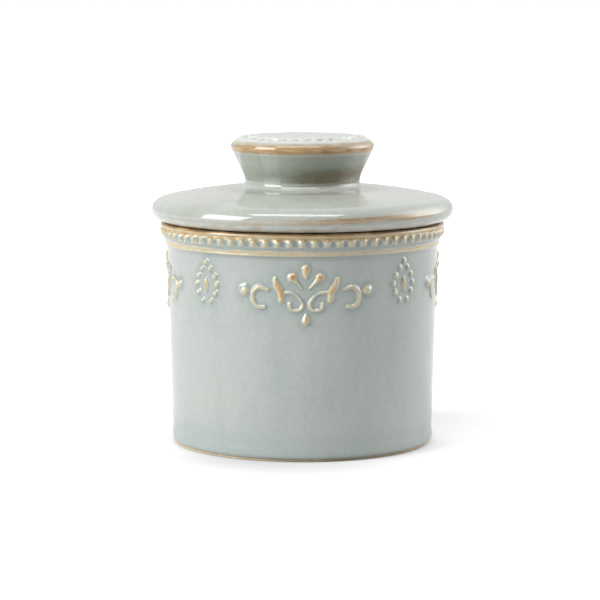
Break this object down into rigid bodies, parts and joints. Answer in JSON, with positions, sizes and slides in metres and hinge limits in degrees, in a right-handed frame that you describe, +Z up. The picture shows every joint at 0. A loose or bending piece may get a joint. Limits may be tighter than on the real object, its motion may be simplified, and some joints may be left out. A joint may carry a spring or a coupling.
{
  "type": "butter crock",
  "caption": "Round stoneware butter crock: an open water crock, and a knobbed lid with a butter cup under it that hangs in the water.",
  "frame": {"origin": "centre of the foot, on the surface the crock stands on", "axes": "+Z up along the crock's axis, -Y towards the front with a scroll sprig facing it, +X to the right"},
  "size_m": [0.108, 0.108, 0.11],
  "materials": {
    "celadon_glaze": "glossy",
    "breaking_glaze": "glossy",
    "bare_stoneware": "matte"
  },
  "bodies": {
    "crock": {"water_crock": "celadon_glaze", "foot_ring": "bare_stoneware", "rim_beads": "breaking_glaze", "scroll_sprig_1": "breaking_glaze", "scroll_sprig_2": "breaking_glaze", "scroll_sprig_3": "breaking_glaze", "scroll_sprig_4": "breaking_glaze", "rosette_sprig_1": "breaking_glaze", "rosette_sprig_2": "breaking_glaze", "rosette_sprig_3": "breaking_glaze", "rosette_sprig_4": "breaking_glaze"},
    "lid": {"lid_plate": "celadon_glaze", "butter_cup": "celadon_glaze", "lid_knob": "celadon_glaze", "knob_beads": "celadon_glaze"}
  },
  "joints": [
    {"name": "lid_lift", "type": "slide", "parent": "crock", "child": "lid", "axis": [0, 0, 1], "range_m": [0, 0.08]}
  ]
}
